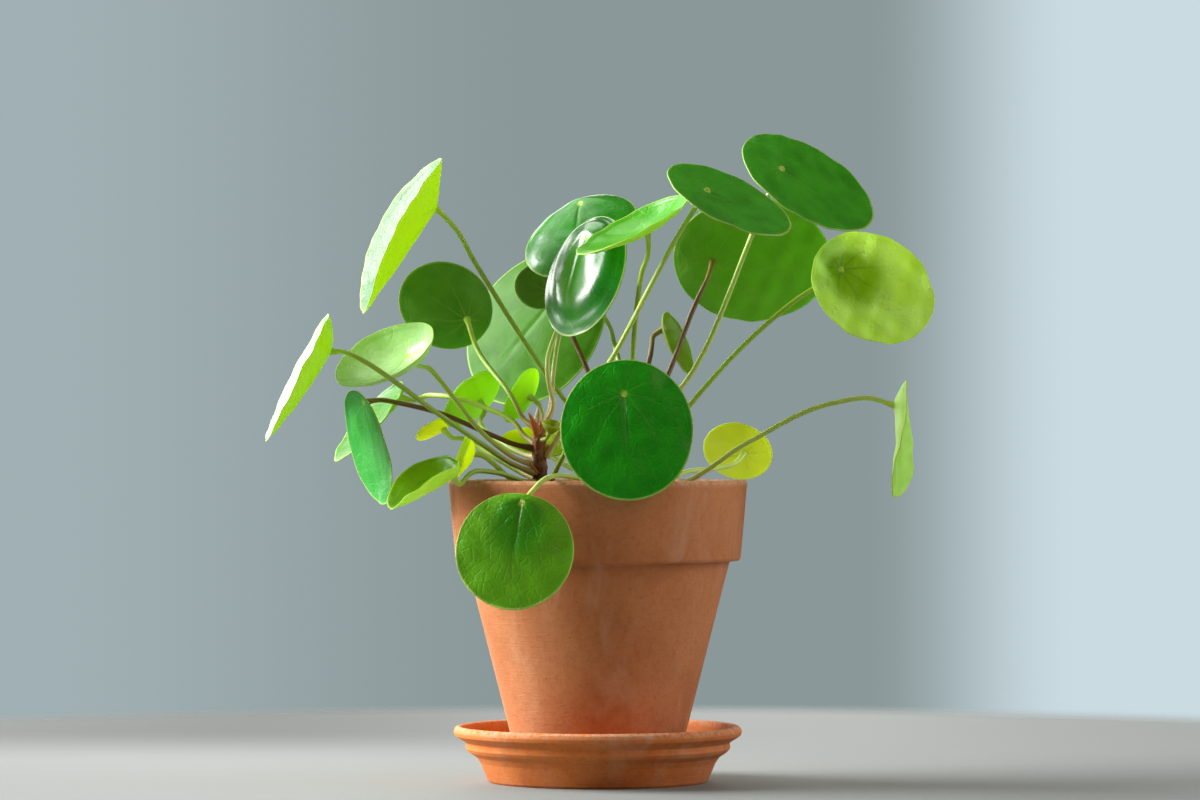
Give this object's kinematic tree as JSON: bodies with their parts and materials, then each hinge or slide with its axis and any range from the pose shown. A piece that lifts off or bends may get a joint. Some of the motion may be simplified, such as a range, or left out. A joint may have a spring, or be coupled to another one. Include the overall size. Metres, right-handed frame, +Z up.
{
  "type": "potted chinese money plant",
  "caption": "Round-leaved money plant: long petioles with peltate blades rising from two short woody stems in a collared terracotta pot on a stepped saucer.",
  "frame": {"origin": "centre of the saucer's underside, on the axis of the pot and the saucer", "axes": "+Z up along the pot's axis; -Y towards the front of the plant, where the two low front leaves hang over the rim; +X to the viewer's right"},
  "size_m": [0.2919, 0.1776, 0.2824],
  "materials": {
    "terracotta_pot": "matte",
    "terracotta_saucer": "matte",
    "potting_soil": "matte",
    "bark": "matte",
    "dry_scale": "matte",
    "leaf_dark": "satin",
    "leaf_mid": "satin",
    "leaf_light": "satin",
    "leaf_yellow": "satin",
    "petiole_green": "satin",
    "petiole_olive": "satin",
    "petiole_brown": "satin"
  },
  "bodies": {
    "root": {"saucer": "terracotta_saucer", "pot": "terracotta_pot", "soil": "potting_soil", "main_stem": "bark", "side_stem": "bark", "stipule": "dry_scale", "leaf_01_blade": "leaf_dark", "leaf_01_petiole": "petiole_olive", "leaf_02_blade": "leaf_mid", "leaf_02_petiole": "petiole_green", "leaf_03_blade": "leaf_light", "leaf_03_petiole": "petiole_olive", "leaf_04_blade": "leaf_light", "leaf_04_petiole": "petiole_olive", "leaf_05_blade": "leaf_mid", "leaf_05_petiole": "petiole_olive", "leaf_06_blade": "leaf_light", "leaf_06_petiole": "petiole_olive", "leaf_07_blade": "leaf_dark", "leaf_07_petiole": "petiole_green", "leaf_08_blade": "leaf_dark", "leaf_08_petiole": "petiole_green", "leaf_09_blade": "leaf_mid", "leaf_09_petiole": "petiole_olive", "leaf_10_blade": "leaf_mid", "leaf_10_petiole": "petiole_green", "leaf_11_blade": "leaf_dark", "leaf_11_petiole": "petiole_green", "leaf_12_blade": "leaf_light", "leaf_12_petiole": "petiole_brown", "leaf_13_blade": "leaf_light", "leaf_13_petiole": "petiole_olive", "leaf_14_blade": "leaf_light", "leaf_14_petiole": "petiole_green", "leaf_15_blade": "leaf_yellow", "leaf_15_petiole": "petiole_green", "leaf_16_blade": "leaf_mid", "leaf_16_petiole": "petiole_brown", "leaf_17_blade": "leaf_light", "leaf_17_petiole": "petiole_green", "leaf_18_blade": "leaf_mid", "leaf_18_petiole": "petiole_brown", "leaf_19_blade": "leaf_light", "leaf_19_petiole": "petiole_olive", "leaf_20_blade": "leaf_mid", "leaf_20_petiole": "petiole_olive", "leaf_21_blade": "leaf_light", "leaf_21_petiole": "petiole_green", "leaf_22_blade": "leaf_light", "leaf_22_petiole": "petiole_green", "leaf_23_blade": "leaf_mid", "leaf_23_petiole": "petiole_green", "leaf_24_blade": "leaf_light", "leaf_24_petiole": "petiole_green", "leaf_25_blade": "leaf_mid", "leaf_25_petiole": "petiole_brown", "leaf_26_blade": "leaf_light", "leaf_26_petiole": "petiole_green", "leaf_27_blade": "leaf_mid", "leaf_27_petiole": "petiole_green"}
  },
  "joints": []
}
